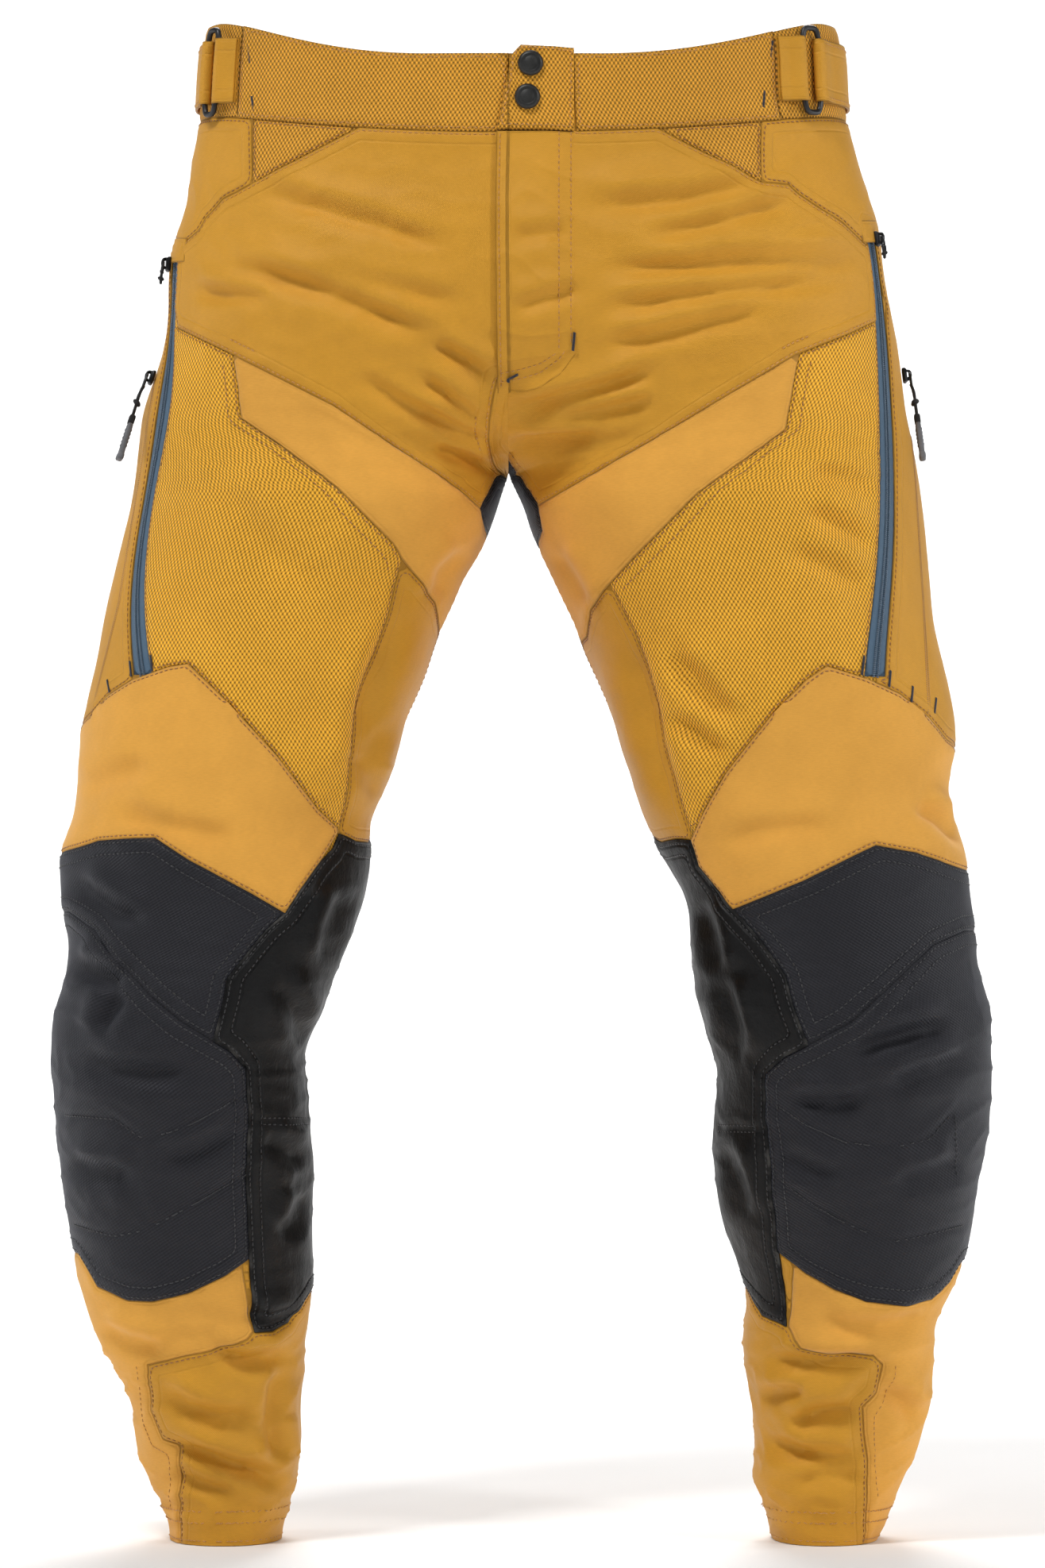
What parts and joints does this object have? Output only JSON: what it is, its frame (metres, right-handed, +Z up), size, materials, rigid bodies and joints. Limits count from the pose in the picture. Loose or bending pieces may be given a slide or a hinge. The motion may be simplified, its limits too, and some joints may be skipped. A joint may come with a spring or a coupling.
{
  "type": "off-road motorcycle riding pants",
  "caption": "Off-road motorcycle riding pants with ballistic knees, leather inner legs, zipped thigh vents and pockets, a snapped fly and side waist adjusters.",
  "frame": {"origin": "on the ground at the middle of the garment, under the hems", "axes": "+Z up, the front faces -Y, the wearer's left is +X"},
  "size_m": [0.6163, 0.2621, 0.999],
  "materials": {
    "main_twill": "dyed cotton-nylon twill, matt",
    "smooth_twill": "fine smooth stretch twill, matt",
    "mesh_weave": "textured abrasion mesh weave with visible cells",
    "ballistic_twill": "black ballistic nylon twill",
    "knee_leather": "black grained cowhide with a soft sheen",
    "zip_blue": "blue-grey zip tape with moulded coil",
    "fly_tape": "zip tape and coil dyed to match",
    "snap_black": "black lacquered brass",
    "hardware_black": "black lacquered zinc",
    "ring_black": "black moulded nylon",
    "pull_rubber": "grey moulded rubber on a black cord"
  },
  "bodies": {
    "pelvis": {"waistband_right": "mesh_weave", "waistband_left": "mesh_weave", "waistband_back": "mesh_weave", "snap_underlap": "main_twill", "fly_zipper": "fly_tape", "front_yoke_right": "mesh_weave", "hip_panel_right": "main_twill", "front_panel_right": "main_twill", "seat_panel_right": "main_twill", "anchor_strap_right": "main_twill", "front_yoke_left": "mesh_weave", "hip_panel_left": "main_twill", "front_panel_left": "main_twill", "seat_panel_left": "main_twill", "anchor_strap_left": "main_twill"},
    "fly_flap": {"waist_tab": "mesh_weave", "fly_placket": "main_twill", "snap_cap_upper": "snap_black", "snap_cap_lower": "snap_black"},
    "fly_slider": {"fly_slider": "hardware_black"},
    "thigh_right": {"thigh_front_panel_right": "smooth_twill", "thigh_mesh_panel_right": "mesh_weave", "inner_thigh_panel_right": "main_twill", "thigh_back_panel_right": "main_twill", "crotch_gusset_right": "ballistic_twill", "vent_zip_right": "zip_blue", "pocket_panel_right": "main_twill", "thigh_lower_panel_right": "smooth_twill"},
    "shin_right": {"knee_upper_panel_right": "ballistic_twill", "knee_lower_panel_right": "ballistic_twill", "knee_leather_right": "knee_leather", "calf_panel_right": "main_twill", "shin_panel_right": "main_twill", "shin_side_panel_right": "smooth_twill"},
    "vent_slider_right": {"vent_slider_right": "hardware_black"},
    "vent_pull_right": {"vent_pull_right": "hardware_black"},
    "pocket_slider_right": {"pocket_slider_right": "hardware_black"},
    "pocket_pull_right": {"pocket_pull_right": "pull_rubber"},
    "adjuster_ring_right": {"adjuster_ring_right": "ring_black"},
    "adjuster_strap_right": {"adjuster_strap_right": "main_twill"},
    "thigh_left": {"thigh_front_panel_left": "smooth_twill", "thigh_mesh_panel_left": "mesh_weave", "inner_thigh_panel_left": "main_twill", "thigh_back_panel_left": "main_twill", "crotch_gusset_left": "ballistic_twill", "vent_zip_left": "zip_blue", "pocket_panel_left": "main_twill", "thigh_lower_panel_left": "smooth_twill"},
    "shin_left": {"knee_upper_panel_left": "ballistic_twill", "knee_lower_panel_left": "ballistic_twill", "knee_leather_left": "knee_leather", "calf_panel_left": "main_twill", "shin_panel_left": "main_twill", "shin_side_panel_left": "smooth_twill"},
    "vent_slider_left": {"vent_slider_left": "hardware_black"},
    "vent_pull_left": {"vent_pull_left": "hardware_black"},
    "pocket_slider_left": {"pocket_slider_left": "hardware_black"},
    "pocket_pull_left": {"pocket_pull_left": "pull_rubber"},
    "adjuster_ring_left": {"adjuster_ring_left": "ring_black"},
    "adjuster_strap_left": {"adjuster_strap_left": "main_twill"}
  },
  "joints": [
    {"name": "fly_flap_open", "type": "hinge", "parent": "pelvis", "child": "fly_flap", "pos_m": [0.03288, -0.11162, 0.97113], "axis": [0.0012, 0.0576, 0.9983], "range_deg": [0, 110]},
    {"name": "fly_slider_open", "type": "hinge", "parent": "pelvis", "child": "fly_slider", "pos_m": [-0.00155, 0.13042, 0.83068], "axis": [1, 0, 0], "range_deg": [0, 24.4]},
    {"name": "hip_right_flex", "type": "hinge", "parent": "pelvis", "child": "thigh_right", "pos_m": [-0.13, 0, 0.82], "axis": [1, 0, 0], "range_deg": [-30, 8], "stiffness_Nm_per_rad": 6, "deforming": ["front_panel_right", "hip_panel_right", "seat_panel_right", "thigh_front_panel_right", "thigh_mesh_panel_right", "inner_thigh_panel_right", "thigh_back_panel_right", "crotch_gusset_right", "vent_zip_right", "pocket_panel_right"]},
    {"name": "knee_right_flex", "type": "hinge", "parent": "thigh_right", "child": "shin_right", "pos_m": [-0.21831, 0.02, 0.352], "axis": [0.9874, 0, 0.158], "range_deg": [-12, 65], "stiffness_Nm_per_rad": 2, "deforming": ["thigh_lower_panel_right", "knee_upper_panel_right", "knee_leather_right", "calf_panel_right"]},
    {"name": "vent_slider_right_open", "type": "slide", "parent": "thigh_right", "child": "vent_slider_right", "axis": [-0.0608, -0.2594, -0.9639], "range_m": [0, 0.151]},
    {"name": "vent_pull_right_swing", "type": "hinge", "parent": "vent_slider_right", "child": "vent_pull_right", "pos_m": [-0.23559, -0.02985, 0.84194], "axis": [-0.2407, 0.9409, -0.2381], "range_deg": [0, 100]},
    {"name": "pocket_slider_right_open", "type": "slide", "parent": "thigh_right", "child": "pocket_slider_right", "axis": [-0.1125, -0.2768, -0.9543], "range_m": [0, 0.154]},
    {"name": "pocket_pull_right_swing", "type": "hinge", "parent": "pocket_slider_right", "child": "pocket_pull_right", "pos_m": [-0.24667, -0.02623, 0.76817], "axis": [-0.2646, 0.9341, -0.2398], "range_deg": [0, 100]},
    {"name": "adjuster_ring_right_tilt", "type": "hinge", "parent": "pelvis", "child": "adjuster_ring_right", "pos_m": [-0.19861, -0.05962, 0.96587], "axis": [0.0588, 0.0378, 0.9976], "range_deg": [0, 35]},
    {"name": "adjuster_strap_right_peel", "type": "hinge", "parent": "adjuster_ring_right", "child": "adjuster_strap_right", "pos_m": [-0.20697, -0.04661, 0.96586], "axis": [0.0588, 0.0378, 0.9976], "range_deg": [0, 150]},
    {"name": "hip_left_flex", "type": "hinge", "parent": "pelvis", "child": "thigh_left", "pos_m": [0.13, 0, 0.82], "axis": [1, 0, 0], "range_deg": [-30, 8], "stiffness_Nm_per_rad": 6, "deforming": ["front_panel_left", "hip_panel_left", "seat_panel_left", "thigh_front_panel_left", "thigh_mesh_panel_left", "inner_thigh_panel_left", "thigh_back_panel_left", "crotch_gusset_left", "vent_zip_left", "pocket_panel_left"]},
    {"name": "knee_left_flex", "type": "hinge", "parent": "thigh_left", "child": "shin_left", "pos_m": [0.21249, 0.02, 0.352], "axis": [0.9874, 0, -0.158], "range_deg": [-12, 65], "stiffness_Nm_per_rad": 2, "deforming": ["thigh_lower_panel_left", "knee_upper_panel_left", "knee_leather_left", "calf_panel_left"]},
    {"name": "vent_slider_left_open", "type": "slide", "parent": "thigh_left", "child": "vent_slider_left", "axis": [0.0468, -0.2373, -0.9703], "range_m": [0, 0.162]},
    {"name": "vent_pull_left_swing", "type": "hinge", "parent": "vent_slider_left", "child": "vent_pull_left", "pos_m": [0.23551, -0.03928, 0.85801], "axis": [-0.3669, -0.9075, 0.2043], "range_deg": [0, 100]},
    {"name": "pocket_slider_left_open", "type": "slide", "parent": "thigh_left", "child": "pocket_slider_left", "axis": [0.0639, -0.3642, -0.9291], "range_m": [0, 0.159]},
    {"name": "pocket_pull_left_swing", "type": "hinge", "parent": "pocket_slider_left", "child": "pocket_pull_left", "pos_m": [0.25581, 0.00279, 0.77076], "axis": [-0.0425, -0.9312, 0.3621], "range_deg": [0, 100]},
    {"name": "adjuster_ring_left_tilt", "type": "hinge", "parent": "pelvis", "child": "adjuster_ring_left", "pos_m": [0.18193, -0.07385, 0.9658], "axis": [-0.0371, 0.0407, 0.9985], "range_deg": [-35, 0]},
    {"name": "adjuster_strap_left_peel", "type": "hinge", "parent": "adjuster_ring_left", "child": "adjuster_strap_left", "pos_m": [0.19425, -0.06259, 0.96577], "axis": [-0.0371, 0.0407, 0.9985], "range_deg": [-150, 0]}
  ]
}
